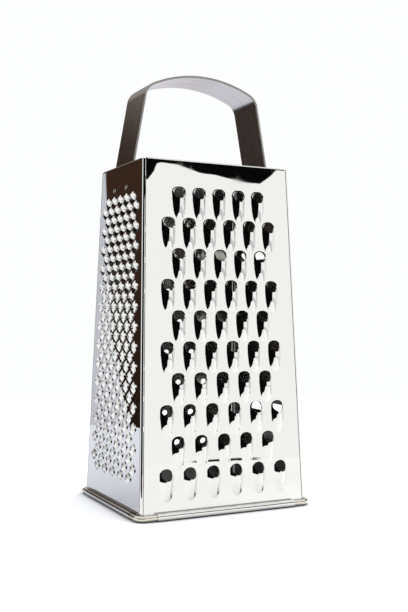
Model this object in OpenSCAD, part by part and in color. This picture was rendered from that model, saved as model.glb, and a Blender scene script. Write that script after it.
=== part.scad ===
// Four-sided box grater of thin stainless sheet on a base wire, with a strap handle.
// Millimetres. The origin is on the floor under the middle, +Z is up, and the
// coarse side faces -Y, the fine side -X, the medium side +Y, the slicer side +X.

/* [Body] */
// Outer width of the body where its panels would meet the floor
base_w = 99; // [90:1:112]
// Outer depth of the body where its panels would meet the floor
base_d = 83.5; // [78:0.5:92]
// Outer width of the body at the top edge
top_w = 88.5; // [84:0.5:96]
// Outer depth of the body at the top edge
top_d = 62; // [60:0.5:68]
// Height of the top edge above the floor
body_h = 188.5; // [184:0.5:200]
// Thickness of the steel sheet
sheet = 0.5; // [0.4:0.05:0.6]
// Outer radius of the upright corner bends
bend_r = 1.3; // [1.1:0.1:2]

/* [Edges] */
// Outer radius of the fold along the top edges
hem_r = 0.9; // [0.8:0.05:1.1]
// Length of the folded flap inside the top edges
hem_drop = 5.5; // [4:0.5:7]
// Plain length between a corner bend and the end of a folded top edge
hem_relief = 0.9; // [0.5:0.1:2]
// Diameter of the base wire
wire_d = 3; // [2.5:0.1:3.5]
// Running fit of the rolled bottom edge round the wire
wire_fit = 0.05; // [0.03:0.01:0.08]
// Radius of the base wire's centre line round a corner
wire_corner_r = 4.2; // [3.5:0.1:4.3]
// Depth of the flat under the rolled bottom edges, on which the body rests
rest_flat = 0.06; // [0.03:0.01:0.08]
// Distance from a sharp corner to the end of a rolled bottom edge
bead_margin = 8.5; // [8.5:0.5:12]
// Angle of the roll that is left open against the panel
bead_slit_angle = 40; // [20:5:60]

/* [Corner seams] */
// Width of the lap that goes round each seam corner
lap = 7.5; // [6.5:0.5:8]
// Gap between the lap's edge and the sheet it meets
seam_gap = 0.15; // [0.1:0.05:0.3]
// Width of the step that carries the tab under the lap
joggle = 2.5; // [2:0.5:4]
// Distance from the sharp corner to the tab's edge
tab_start = 2.8; // [2.8:0.1:3.2]
// Diameter of a weld spot in a seam
seam_weld_d = 2.4; // [2:0.1:2.8]
// Weld spots along each seam
seam_welds = 6; // [3:1:8]

/* [Coarse side] */
// Rows of coarse holes
coarse_rows = 10; // [6:1:10]
// Holes in the first coarse row, the next has one more
coarse_cols = 5; // [3:1:5]
// Distance from the top edge down to the first coarse row
coarse_drop = 18.1; // [16:0.1:20]
// Height of the last coarse row above the floor
coarse_foot = 22.8; // [21.5:0.1:26]
// Distance between coarse holes in the first row
coarse_pitch = 12; // [10:0.5:12.5]
// Share by which that distance grows from each row to the next
coarse_fan_share = 0.0163; // [0:0.001:0.018]
// Diameter of a coarse hole
coarse_hole_d = 6.2; // [5:0.1:7]
// Width of a coarse scoop
coarse_scoop_w = 7.8; // [7.4:0.1:8.4]
// Height of a coarse scoop
coarse_scoop_h = 3.1; // [2.4:0.1:3.6]
// Length of a coarse scoop from the hole's centre to its foot
coarse_scoop_l = 14.2; // [10:0.2:15]

/* [Medium side] */
// Rows of medium holes
medium_rows = 16; // [8:1:16]
// Holes in the first medium row, the next has one more
medium_cols = 6; // [4:1:6]
// Distance from the top edge down to the first medium row
medium_drop = 22.5; // [19:0.5:26]
// Height of the last medium row above the floor
medium_foot = 26.5; // [24:0.5:32]
// Distance between medium holes in the first row
medium_pitch = 7.8; // [7:0.1:8]
// Share by which that distance grows from each row to the next
medium_fan_share = 0.01; // [0:0.001:0.012]
// Diameter of a medium hole
medium_hole_d = 3.8; // [3:0.1:4.2]
// Width of a medium scoop
medium_scoop_w = 5; // [4.8:0.1:5.4]
// Height of a medium scoop
medium_scoop_h = 2; // [1.6:0.1:2.2]
// Length of a medium scoop from the hole's centre to its foot
medium_scoop_l = 7.6; // [6:0.2:8.4]

/* [Fine side] */
// Rows of star points
star_rows = 29; // [12:1:29]
// Stars in the first row, the next has one more
star_cols = 5; // [3:1:5]
// Distance from the top edge down to the first row of stars
star_drop = 19.9; // [19.5:0.1:22]
// Height of the last row of stars above the floor
star_foot = 19.6; // [16:0.1:22]
// Distance between stars in the first row
star_pitch = 9.1; // [8.5:0.1:9.3]
// Share by which that distance grows from each row to the next
star_fan_share = 0.0107; // [0:0.001:0.012]
// Diameter across the tips of a star
star_d = 4.4; // [4:0.1:4.6]
// Diameter across the roots between the tips
star_root_d = 3; // [2.8:0.1:3.2]
// Diameter of the hole in a star
star_hole_d = 1.9; // [1.6:0.1:2.2]
// Height of a star's crown above the panel
star_h = 1.6; // [1.2:0.1:2]

/* [Slicer side] */
// Number of slicing slots
slots = 3; // [2:1:3]
// Distance from the top edge down to the middle of the first slot
slot_drop = 46.8; // [40:0.2:50]
// Height of the last slot's middle above the floor
slot_foot = 50.7; // [44:0.1:56]
// Clear height of a slot
slot_h = 5.7; // [5.2:0.1:6.2]
// Plain width of panel left at each end of a slot
slot_margin = 9.8; // [9.5:0.1:12]
// Height of the blade above the panel
blade_h = 2.2; // [1.6:0.1:2.4]
// Length of the ramp that rises to the blade
blade_ramp = 8; // [6:0.5:10]

/* [Handle] */
// Width of the strap
strap_w = 26; // [22:0.5:30]
// Thickness of the strap
strap_t = 1.2; // [1:0.1:1.4]
// Height of the strap's crown above the top edge
strap_rise = 51.5; // [48:0.5:58]
// Place of the strap's middle along Y
strap_y = 1; // [-2:0.5:2]
// Angle at which the legs lean in above the top edge
strap_lean_angle = 10.2; // [8:0.2:12]
// Outer radius of the bends between the legs and the crown
strap_bend_r = 9.5; // [8:0.5:12]
// Outer radius of the shallow arch between those bends
crown_r = 71; // [60:1:90]
// Depth of the strap's feet below the top edge
foot_reach = 18.3; // [17:0.1:19]
// Clearance between the strap and the folded top edge
strap_fit = 0.1; // [0.05:0.01:0.2]
// Depth of the foot welds below the top edge
foot_weld_drop = 13.2; // [12.5:0.1:13.6]
// Distance between the two welds of a foot
foot_weld_pitch = 17.4; // [14:0.2:18]
// Diameter of a foot weld
foot_weld_d = 3.2; // [2.6:0.1:3.6]
// Depth of the dimple that a weld leaves in the outer face
weld_dimple = 0.15; // [0.1:0.05:0.2]

/* [Hidden] */

front = 0;
right = 1;
back = 2;
left = 3;

// Steps in a scoop's arch, in a corner bend and in each bend of the strap
arch_steps = 6;
bend_steps = 8;
strap_steps = 16;
// Overrun of every cut
over = 1;
$fn = 48;

// Lean of the side panels and of the front and back panels
lean_w = atan((base_w - top_w) / 2 / body_h);
lean_d = atan((base_d - top_d) / 2 / body_h);

wire_r = wire_d / 2;
roll_r = wire_r + wire_fit;
bead_r = roll_r + sheet;
wire_z = bead_r - rest_flat;
wall_top = body_h - hem_r;
steel = "silver";

function half_w(z) = base_w / 2 - z * tan(lean_w);
function half_d(z) = base_d / 2 - z * tan(lean_d);
function side_lean(side) = side % 2 == 0 ? lean_d : lean_w;
function side_half(side, z) = side % 2 == 0 ? half_w(z) : half_d(z);
function up(side, z) = z / cos(side_lean(side));

// Outline of the body at one height, set inward by a thickness of sheet
function ring(z, inset) =
    [for (q = [0:3], i = [0:bend_steps])
        let (a = 90 * (q + i / bend_steps),
             sx = q == 0 || q == 3 ? 1 : -1,
             sy = q < 2 ? 1 : -1)
        [sx * (half_w(z) - bend_r) + (bend_r - inset / cos(lean_w)) * cos(a),
         sy * (half_d(z) - bend_r) + (bend_r - inset / cos(lean_d)) * sin(a),
         z]];

// Plan of the front and left panels with the laps round both seam corners
function seam_plan(z, reach) =
    let (far = base_w, y = reach - half_d(z), x = reach - half_w(z))
    [[-far, -far, z], [far, -far, z], [far, y, z], [x, y, z], [x, far, z], [-far, far, z]];

// Solid between two outlines with the same number of points
module loft(lower, upper) {
    n = len(lower);
    walls = [for (i = [0:n - 1]) [i, i + n, (i + 1) % n + n, (i + 1) % n]];
    ends = [[for (i = [0:n - 1]) i], [for (i = [n - 1:-1:0]) i + n]];
    polyhedron(points = concat(lower, upper), faces = concat(walls, ends));
}

// One layer of the body's skin between two insets and two heights
module skin(outer, inner, z0, z1) {
    difference() {
        loft(ring(z0, outer), ring(z1, outer));
        loft(ring(z0 - over, inner), ring(z1 + over, inner));
    }
}

module seam_region(reach) {
    loft(seam_plan(-over, reach), seam_plan(body_h + over, reach));
}

// Panel frame: x along the panel, y up it from the floor, z outward
module on_side(side) {
    half = side % 2 == 0 ? base_d / 2 : base_w / 2;
    rotate([0, 0, 90 * side])
        translate([0, -half, 0])
            rotate([90 - side_lean(side), 0, 0])
                children();
}

// Sweeps a profile drawn as [up, outward] along the panel
module sweep_between(x0, x1) {
    translate([x0, 0, 0])
        rotate([90, 0, 90])
            linear_extrude(x1 - x0)
                children();
}

// Folded top edge: the sheet goes over and down inside
module hem(side, x0, x1) {
    lean = side_lean(side);
    centre = (wall_top + hem_r * sin(lean)) / cos(lean);
    sweep_between(x0, x1) {
        translate([centre, -hem_r])
            difference() {
                intersection() {
                    circle(hem_r);
                    translate([0, -hem_r])
                        square([hem_r, 2 * hem_r]);
                }
                circle(hem_r - sheet);
            }
        for (u = [-sheet, -2 * hem_r])
            translate([centre - hem_drop, u])
                square([hem_drop, sheet]);
    }
}

// Bottom edge rolled outward round the base wire
module bead(side) {
    lean = side_lean(side);
    centre = (wire_z - roll_r * sin(lean)) / cos(lean);
    half = side_half(side, 0) - bead_margin;
    slit = 2 * bead_r;
    sweep_between(-half, half) {
        translate([centre, roll_r])
            difference() {
                circle(bead_r);
                circle(roll_r);
                polygon([[0, 0],
                         slit * [cos(90 - bead_slit_angle), -sin(90 - bead_slit_angle)],
                         slit * [0, -1]]);
            }
        translate([centre, -sheet])
            square([bead_r, sheet]);
    }
}

// Takes off what would go below the floor, which leaves a flat under each rolled edge
module floor_cut() {
    translate([0, 0, -bead_r])
        cube([2 * base_w, 2 * base_w, 2 * bead_r], center = true);
}

// Takes off the body's bottom corners, over which the wire turns wider than the sheet
module corner_cut() {
    size = 2 * (wire_corner_r - roll_r);
    for (sx = [-1, 1], sy = [-1, 1])
        translate([sx * half_w(wire_z), sy * half_d(wire_z), 0])
            cube([size, size, 2 * (wire_z + bead_r)], center = true);
}

// Half of a pointed scoop: an arched mouth that narrows to a point below the hole
module scoop_point(w, h, l, floor_u, mouth_y) {
    arch = [for (i = [0:arch_steps]) let (a = 180 * i / arch_steps) [w / 2 * cos(a), mouth_y, h * sin(a)]];
    mouth = concat([[w / 2, mouth_y, floor_u]], arch, [[-w / 2, mouth_y, floor_u]]);
    n = len(mouth);
    sides = [for (i = [0:n - 1]) [(i + 1) % n, i, n]];
    polyhedron(points = concat(mouth, [[0, -l, floor_u]]), faces = concat(sides, [[for (i = [0:n - 1]) i]]));
}

// Outer form of a scoop, which stands on the middle of the sheet
module scoop(w, h, l) {
    scoop_point(w, h, l, -sheet / 2, 0);
}

// Hollow of the scoop, one sheet below its outer form and open at the back of the panel
module scoop_hollow(w, h, l) {
    scoop_point(w - 2 * sheet, h - sheet, l * (h + sheet) / (h + sheet / 2), -2 * sheet, sheet);
}

// Height of one of several rows that lie evenly between two distances from the body's ends
function row_z(i, rows, drop, foot) = body_h - drop - i * (body_h - drop - foot) / (rows - 1);

// Places of a staggered pattern that widens down the panel
module staggered(side, rows, cols, drop, foot, pitch, fan_share) {
    for (i = [0:rows - 1]) {
        n = cols + i % 2;
        spread = pitch * (1 + fan_share * i);
        for (j = [0:n - 1])
            translate([(j - (n - 1) / 2) * spread, up(side, row_z(i, rows, drop, foot)), 0])
                children();
    }
}

module coarse_places() {
    staggered(front, coarse_rows, coarse_cols, coarse_drop, coarse_foot, coarse_pitch, coarse_fan_share)
        children();
}

module medium_places() {
    staggered(back, medium_rows, medium_cols, medium_drop, medium_foot, medium_pitch, medium_fan_share)
        children();
}

module star_places() {
    staggered(left, star_rows, star_cols, star_drop, star_foot, star_pitch, star_fan_share)
        children();
}

module through_hole(d, height) {
    translate([0, 0, -sheet - over])
        cylinder(h = sheet + height + 2 * over, d = d);
}

module star_crown() {
    tip = star_d / 2;
    root = star_root_d / 2;
    translate([0, 0, -sheet / 2])
        linear_extrude(sheet / 2 + star_h)
            polygon([for (i = [0:11]) (i % 2 == 0 ? tip : root) * [sin(30 * i), cos(30 * i)]]);
}

function slot_z(i) = row_z(i, slots, slot_drop, slot_foot);
function slot_half(i) = half_d(slot_z(i)) - slot_margin;

// Slot with round ends, its middle at the given place
module slot_cut(i) {
    run = slot_half(i) - slot_h / 2;
    translate([0, up(right, slot_z(i)), -sheet - over])
        linear_extrude(sheet + blade_h + 2 * over) {
            square([2 * run, slot_h], center = true);
            for (s = [-1, 1])
                translate([s * run, 0])
                    circle(slot_h / 2);
        }
}

// Ramp that rises to the blade at the slot's lower edge
module blade_wedge(i) {
    run = slot_half(i) - slot_h / 2;
    edge = up(right, slot_z(i)) - slot_h / 2;
    sweep_between(-run, run)
        polygon([[edge - blade_ramp, -sheet / 2], [edge - blade_ramp, 0],
                 [edge, blade_h], [edge, -sheet / 2]]);
}

// Hollow under the ramp, one sheet below its face and open to the slot
module blade_hollow(i) {
    run = slot_half(i) - slot_h / 2 - sheet;
    edge = up(right, slot_z(i)) - slot_h / 2;
    rise = atan(blade_h / blade_ramp);
    drop = sheet / cos(rise);
    floor_u = -sheet - over;
    foot = edge - blade_ramp + (floor_u + drop) / tan(rise);
    sweep_between(-run, run)
        polygon([[foot, floor_u], [edge + over, floor_u],
                 [edge + over, blade_h - drop], [edge, blade_h - drop]]);
}

// Strip along a seam corner between two distances from it and two levels of the sheet
module seam_plate(side, from, to, lower_u, upper_u) {
    toward = side == right ? -1 : 1;
    heights = [seam_low, seam_high];
    translate([0, 0, lower_u])
        linear_extrude(upper_u - lower_u)
            polygon([for (p = [[from, 0], [to, 0], [to, 1], [from, 1]])
                [toward * (side_half(side, heights[p[1]]) - p[0]), up(side, heights[p[1]])]]);
}

seam_low = wire_z + bead_r;
seam_high = wall_top - hem_drop;
function seam_weld_z(i) = seam_low + (i + 1 / 2) * (seam_high - seam_low) / seam_welds;
seam_middle = (tab_start + lap) / 2;

// Weld spots of one seam, by their diameter, their outer end and their length
module seam_spots(side, d, outer, length) {
    toward = side == right ? -1 : 1;
    on_side(side)
        for (i = [0:seam_welds - 1]) {
            z = seam_weld_z(i);
            translate([toward * (side_half(side, z) - seam_middle), up(side, z), outer - length])
                cylinder(h = length, d = d);
        }
}

// Weld spots of one foot of the strap
module foot_spots(side, outer, length) {
    along_y = side == right ? 1 : -1;
    on_side(side)
        for (s = [-1, 1])
            translate([along_y * (strap_y + s * foot_weld_pitch / 2),
                       up(side, body_h - foot_weld_drop), outer - length])
                cylinder(h = length, d = foot_weld_d);
}

foot_weld_l = sheet + strap_t - weld_dimple;
seam_weld_l = 2 * sheet - weld_dimple;
cut_l = 2 * sheet + strap_t + 2 * over;

module all_spot_cuts() {
    foot_spots(left, over, cut_l);
    foot_spots(right, over, cut_l);
    seam_spots(right, seam_weld_d, over, cut_l);
    seam_spots(back, seam_weld_d, over, cut_l);
}

// One sheet bent once: the coarse front, the fine left side and a lap at each end
module front_left_sheet() {
    front_hem = half_w(body_h) - bend_r - hem_relief;
    left_hem = half_d(body_h) - bend_r - hem_relief;
    color(steel)
        difference() {
            union() {
                intersection() {
                    skin(0, sheet, wire_z, wall_top);
                    seam_region(lap);
                }
                on_side(front) {
                    hem(front, -front_hem, front_hem);
                    bead(front);
                    coarse_places()
                        scoop(coarse_scoop_w, coarse_scoop_h, coarse_scoop_l);
                }
                on_side(left) {
                    hem(left, -left_hem, left_hem);
                    bead(left);
                    star_places()
                        star_crown();
                }
            }
            on_side(front)
                coarse_places() {
                    scoop_hollow(coarse_scoop_w, coarse_scoop_h, coarse_scoop_l);
                    through_hole(coarse_hole_d, coarse_scoop_h);
                }
            on_side(left)
                star_places()
                    through_hole(star_hole_d, star_h);
            floor_cut();
            corner_cut();
            all_spot_cuts();
        }
}

// The other sheet: the medium back, the slicer right side and a tab under each lap
module back_right_sheet() {
    stop = lap + seam_gap;
    right_hem = half_d(body_h) - bend_r - hem_relief;
    back_hem = half_w(body_h) - bend_r - hem_relief;
    color(steel)
        difference() {
            union() {
                difference() {
                    skin(0, sheet, wire_z, wall_top);
                    seam_region(stop);
                }
                for (side = [right, back])
                    on_side(side) {
                        seam_plate(side, tab_start, lap + joggle, -2 * sheet, -sheet);
                        seam_plate(side, stop, lap + joggle, -2 * sheet, -sheet / 2);
                    }
                on_side(right) {
                    hem(right, stop - half_d(body_h), right_hem);
                    bead(right);
                    for (i = [0:slots - 1])
                        blade_wedge(i);
                }
                on_side(back) {
                    hem(back, -back_hem, half_w(body_h) - stop);
                    bead(back);
                    medium_places()
                        scoop(medium_scoop_w, medium_scoop_h, medium_scoop_l);
                }
            }
            on_side(right)
                for (i = [0:slots - 1]) {
                    slot_cut(i);
                    blade_hollow(i);
                }
            on_side(back)
                medium_places() {
                    scoop_hollow(medium_scoop_w, medium_scoop_h, medium_scoop_l);
                    through_hole(medium_hole_d, medium_scoop_h);
                }
            floor_cut();
            corner_cut();
            all_spot_cuts();
        }
}

// Ring of round wire inside the rolled edges, its corners round the body's corners
module base_wire() {
    corner_x = half_w(wire_z) + roll_r - wire_corner_r;
    corner_y = half_d(wire_z) + roll_r - wire_corner_r;
    color("gainsboro")
        translate([0, 0, wire_z])
            for (q = [0:3])
                rotate([0, 0, 90 * q]) {
                    a = q % 2 == 0 ? corner_x : corner_y;
                    b = q % 2 == 0 ? corner_y : corner_x;
                    translate([a, b, 0])
                        rotate_extrude(angle = 90)
                            translate([wire_corner_r, 0])
                                circle(wire_r);
                    translate([a + wire_corner_r, 0, 0])
                        rotate([90, 0, 0])
                            cylinder(h = 2 * b, r = wire_r, center = true);
                }
}

// Middle line of the strap's right half, from the foot up to the crown
hug = sheet + strap_t / 2;
pass = 2 * hem_r + strap_fit + strap_t / 2;
function hug_x(z, off) = half_w(z) - off / cos(lean_w);
foot_z = body_h - foot_reach;
step_lo = wall_top - hem_drop - pass + hug - strap_t / 2;
step_hi = step_lo + pass - hug;

// The leg's line, the centre of the bend and the angles at which arcs begin and end
leg_out = [cos(strap_lean_angle), sin(strap_lean_angle)];
leg_up = [-sin(strap_lean_angle), cos(strap_lean_angle)];
knee = [hug_x(body_h, pass), body_h];
crown_c = [0, body_h + strap_rise - crown_r];
bend_line = leg_out * (leg_out * knee - (strap_bend_r - strap_t / 2));
to_line = bend_line - crown_c;
along_line = to_line * leg_up;
arc_gap = crown_r - strap_bend_r;
bend_rise = sqrt(along_line * along_line - to_line * to_line + arc_gap * arc_gap) - along_line;
bend_c = bend_line + leg_up * bend_rise;
bend_end = atan2(bend_c[1] - crown_c[1], bend_c[0] - crown_c[0]);

function arc(c, r, a0, a1) =
    [for (i = [0:strap_steps]) let (a = a0 + (a1 - a0) * i / strap_steps) c + r * [cos(a), sin(a)]];

half_line = concat(
    [[hug_x(foot_z, hug), foot_z], [hug_x(step_lo, hug), step_lo], [hug_x(step_hi, pass), step_hi], knee],
    arc(bend_c, strap_bend_r - strap_t / 2, strap_lean_angle, bend_end),
    [for (i = [1:strap_steps])
        let (a = bend_end + (90 - bend_end) * i / strap_steps)
        crown_c + (crown_r - strap_t / 2) * [cos(a), sin(a)]]);

last = len(half_line) - 1;
strap_line = concat(half_line, [for (i = [last - 1:-1:0]) [-half_line[i][0], half_line[i][1]]]);

function unit(v) = v / norm(v);
function turn_left(v) = [-v[1], v[0]];

// The line moved sideways by a distance, with mitred turns
function offset_line(line, d) =
    let (n = len(line) - 1)
    [for (i = [0:n])
        let (before = unit(line[max(i, 1)] - line[max(i, 1) - 1]),
             after = unit(line[min(i, n - 1) + 1] - line[min(i, n - 1)]),
             side = unit(turn_left(before + after)))
        line[i] + side * d / (side * turn_left(before))];

// One strap of steel, bent over, with its feet flat inside the side panels
module handle_strap() {
    outer = offset_line(strap_line, strap_t / 2);
    inner = offset_line(strap_line, -strap_t / 2);
    n = len(inner) - 1;
    color("lightgray")
        difference() {
            translate([0, strap_y + strap_w / 2, 0])
                rotate([90, 0, 0])
                    linear_extrude(strap_w)
                        polygon(concat(outer, [for (i = [n:-1:0]) inner[i]]));
            foot_spots(left, over, cut_l);
            foot_spots(right, over, cut_l);
        }
}

module left_foot_welds() {
    color("darkgray")
        foot_spots(left, -weld_dimple, foot_weld_l);
}

module right_foot_welds() {
    color("darkgray")
        foot_spots(right, -weld_dimple, foot_weld_l);
}

module right_seam_welds() {
    color("darkgray")
        seam_spots(right, seam_weld_d, -weld_dimple, seam_weld_l);
}

module back_seam_welds() {
    color("darkgray")
        seam_spots(back, seam_weld_d, -weld_dimple, seam_weld_l);
}

front_left_sheet();
back_right_sheet();
base_wire();
handle_strap();
left_foot_welds();
right_foot_welds();
right_seam_welds();
back_seam_welds();
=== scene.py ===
import math
import bmesh
import bpy
from mathutils import Matrix, Vector


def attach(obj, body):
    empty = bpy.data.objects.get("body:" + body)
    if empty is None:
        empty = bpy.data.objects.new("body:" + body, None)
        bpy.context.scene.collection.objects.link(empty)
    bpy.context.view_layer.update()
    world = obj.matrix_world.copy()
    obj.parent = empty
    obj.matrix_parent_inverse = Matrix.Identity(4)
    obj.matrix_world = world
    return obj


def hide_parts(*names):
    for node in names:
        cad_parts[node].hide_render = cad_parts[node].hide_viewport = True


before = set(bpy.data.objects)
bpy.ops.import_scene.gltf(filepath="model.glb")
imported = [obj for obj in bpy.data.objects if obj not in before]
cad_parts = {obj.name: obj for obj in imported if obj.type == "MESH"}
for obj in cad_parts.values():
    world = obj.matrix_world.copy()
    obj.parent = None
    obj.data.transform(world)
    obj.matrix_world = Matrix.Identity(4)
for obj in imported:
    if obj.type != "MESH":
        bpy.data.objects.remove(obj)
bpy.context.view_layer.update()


# Body: two stainless sheets pressed in flat strips, bent once each and lapped at two
# corners. The shell starts as one tapered box, whose upright edges become the bends,
# and is parted at the seams into the two sheets.
MM = 0.001
BASE_W, BASE_D = 99 * MM, 83.5 * MM
TOP_W, TOP_D = 88.5 * MM, 62 * MM
BODY_H = 188.5 * MM
SHEET = 0.5 * MM
BEND_R = 1.3 * MM
HEM_R = 0.9 * MM
WIRE_R = 1.5 * MM
WIRE_FIT = 0.05 * MM
ROLL_R = WIRE_R + WIRE_FIT
REST_FLAT = 0.06 * MM
WIRE_Z = ROLL_R + SHEET - REST_FLAT
WALL_TOP = BODY_H - HEM_R
LAP = 7.5 * MM
BEND_STEPS = 8
SQUARE_ON = 0.98
LEAN_W = math.atan((BASE_W - TOP_W) / 2 / BODY_H)
LEAN_D = math.atan((BASE_D - TOP_D) / 2 / BODY_H)


def half_w(z):
    return BASE_W / 2 - z * math.tan(LEAN_W)


def half_d(z):
    return BASE_D / 2 - z * math.tan(LEAN_D)


def pick(kind, test):
    """Selects only the vertices, edges or faces that pass a test, in edit mode."""
    bpy.ops.mesh.select_mode(type=kind)
    bpy.ops.mesh.select_all(action="DESELECT")
    mesh = bmesh.from_edit_mesh(bpy.context.object.data)
    for item in {"VERT": mesh.verts, "EDGE": mesh.edges, "FACE": mesh.faces}[kind]:
        if test(item):
            item.select_set(True)
    mesh.select_flush_mode()
    bmesh.update_edit_mesh(bpy.context.object.data)


def middle(item):
    """The middle of an edge's or a face's corners."""
    return sum((v.co for v in item.verts), Vector()) / len(item.verts)


def edit(piece):
    """Makes a piece the only selected one and opens it in edit mode."""
    bpy.ops.object.select_all(action="DESELECT")
    piece.select_set(True)
    bpy.context.view_layer.objects.active = piece
    bpy.ops.object.mode_set(mode="EDIT")


def leave_edit():
    bpy.ops.object.mode_set(mode="OBJECT")


bpy.ops.object.select_all(action="DESELECT")
bpy.ops.mesh.primitive_cube_add(size=1)
shell = bpy.context.object
edit(shell)
bpy.ops.mesh.select_all(action="SELECT")
wide, deep = 2 * half_w(WIRE_Z), 2 * half_d(WIRE_Z)
bpy.ops.transform.resize(value=(wide, deep, WALL_TOP - WIRE_Z), center_override=(0, 0, 0))
bpy.ops.transform.translate(value=(0, 0, (WALL_TOP + WIRE_Z) / 2))
pick("VERT", lambda v: v.co.z > BODY_H / 2)
narrower = (half_w(WALL_TOP) / half_w(WIRE_Z), half_d(WALL_TOP) / half_d(WIRE_Z), 1)
bpy.ops.transform.resize(value=narrower, center_override=(0, 0, WALL_TOP))
pick("EDGE", lambda e: abs(e.verts[0].co.z - e.verts[1].co.z) > BODY_H / 2)
bpy.ops.mesh.bevel(offset=BEND_R, segments=BEND_STEPS, profile=0.5, affect="EDGES")
pick("FACE", lambda f: abs(f.normal.z) > SQUARE_ON)
bpy.ops.mesh.delete(type="FACE")
pick("FACE", lambda f: f.normal.x > SQUARE_ON)
bpy.ops.mesh.bisect(plane_co=(0, LAP - BASE_D / 2, 0), plane_no=(0, 1, -math.tan(LEAN_D)))
pick("FACE", lambda f: f.normal.y > SQUARE_ON)
bpy.ops.mesh.bisect(plane_co=(LAP - BASE_W / 2, 0, 0), plane_no=(1, 0, -math.tan(LEAN_W)))


def beyond_seams(item):
    place = middle(item)
    return place.x > LAP - half_w(place.z) and place.y > LAP - half_d(place.z)


pick("FACE", beyond_seams)
bpy.ops.mesh.separate(type="SELECTED")
leave_edit()
back_right = next(o for o in bpy.context.selected_objects if o != shell)
front_left = shell
front_left.name = "front_left_sheet_pressed"
back_right.name = "back_right_sheet_pressed"


# Front and left sheet: one stainless sheet, mirror polished, with the coarse and the
# fine side. Its holes are pressed from inside, its top edges folded in, its bottom edges
# rolled out round the wire, and a lap at each end goes round the next corner.
FRONT, RIGHT, BACK, LEFT = range(4)
HEM_DROP = 5.5 * MM
HEM_RELIEF = 0.9 * MM
BEAD_MARGIN = 8.5 * MM
ROLL_TURN = math.radians(320)
ROLL_STEPS = 26
WIRE_CORNER_R = 4.2 * MM
CORNER_CUT = WIRE_CORNER_R - ROLL_R
CUT_TOP = WIRE_Z + ROLL_R + SHEET
FLAT_RIM = 0.4 * MM
RIM_SHARE = 0.7
NARROWEST_FACE = 6 * MM
TINY = 0.01 * MM


def side_lean(side):
    return LEAN_D if side % 2 == 0 else LEAN_W


def side_half(side, z):
    return half_w(z) if side % 2 == 0 else half_d(z)


def up(side, z):
    """How far up the sloping panel a height above the floor lies."""
    return z / math.cos(side_lean(side))


def panel_place(side):
    """The panel's own frame: x along the panel, y up it from the floor, z outward."""
    half = BASE_D / 2 if side % 2 == 0 else BASE_W / 2
    return (Matrix.Rotation(math.radians(90 * side), 4, "Z")
            @ Matrix.Translation((0, -half, 0))
            @ Matrix.Rotation(math.radians(90) - side_lean(side), 4, "X"))


def split_border(side, z, x):
    """Adds a vertex at x to the border edge of a panel that lies at a height."""
    to_panel = panel_place(side).inverted()

    def spans(e):
        a, b = (to_panel @ v.co for v in e.verts)
        return (len(e.link_faces) == 1 and max(abs(a.z), abs(b.z)) < TINY
                and abs(a.y - b.y) < TINY and abs(a.y - up(side, z)) < TINY
                and min(a.x, b.x) + TINY < x < max(a.x, b.x) - TINY)

    pick("EDGE", spans)
    mesh = bmesh.from_edit_mesh(bpy.context.object.data)
    edge = next(e for e in mesh.edges if e.select)
    half_way = middle(edge)
    bpy.ops.mesh.subdivide(number_cuts=1)
    pick("VERT", lambda v: (v.co - half_way).length < TINY)
    shift = panel_place(side).to_3x3() @ Vector((x - (to_panel @ half_way).x, 0, 0))
    bpy.ops.transform.translate(value=shift)


def pick_border(side, z, x0, x1):
    to_panel = panel_place(side).inverted()

    def inside(e):
        m = to_panel @ middle(e)
        return (len(e.link_faces) == 1 and abs(m.z) < TINY and x0 < m.x < x1
                and all(abs((to_panel @ v.co).y - up(side, z)) < TINY for v in e.verts))

    pick("EDGE", inside)


def lift_corners():
    """Draws the bottom edge up round each bend, over which the wire turns wider."""
    rise = CUT_TOP - WIRE_Z
    for sx, sy in ((1, 1), (-1, 1), (-1, -1), (1, -1)):
        pick("VERT", lambda v: v.co.z < WIRE_Z + TINY
             and v.co.x * sx > half_w(WIRE_Z) - BEND_R - TINY
             and v.co.y * sy > half_d(WIRE_Z) - BEND_R - TINY)
        inward = (-sx * rise * math.tan(LEAN_W), -sy * rise * math.tan(LEAN_D), rise)
        bpy.ops.transform.translate(value=inward)


def fold_top(side, x0, x1):
    """Folds the top border between two places over and down inside the panel."""
    place = panel_place(side)
    pick_border(side, WALL_TOP, x0 - TINY, x1 + TINY)
    bpy.ops.mesh.spin(steps=BEND_STEPS, angle=math.pi, axis=place.to_3x3() @ Vector((1, 0, 0)),
                      center=place @ Vector((0, up(side, WALL_TOP), -HEM_R)))
    down = place.to_3x3() @ Vector((0, -HEM_DROP, 0))
    bpy.ops.mesh.extrude_edges_move(TRANSFORM_OT_translate={"value": down})


def roll_bottom(side, x0, x1):
    """Rolls the bottom border between two places outward round the wire."""
    place = panel_place(side)
    pick_border(side, WIRE_Z, x0 - TINY, x1 + TINY)
    bpy.ops.mesh.spin(steps=ROLL_STEPS, angle=ROLL_TURN, axis=place.to_3x3() @ Vector((1, 0, 0)),
                      center=place @ Vector((0, up(side, WIRE_Z), ROLL_R)))


def open_face(side, lo, hi):
    """Leaves a narrow flat rim round a panel's face and takes the face out inside it."""
    to_panel = panel_place(side).inverted()

    def is_face(f):
        m = to_panel @ middle(f)
        z = m.y * math.cos(side_lean(side))
        return abs(m.z) < TINY and f.calc_area() > NARROWEST_FACE ** 2 and lo(z) < m.x < hi(z)

    pick("FACE", is_face)
    bpy.ops.mesh.inset(thickness=FLAT_RIM, depth=0, use_boundary=True)
    pick("FACE", is_face)
    bpy.ops.mesh.delete(type="ONLY_FACE")


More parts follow.
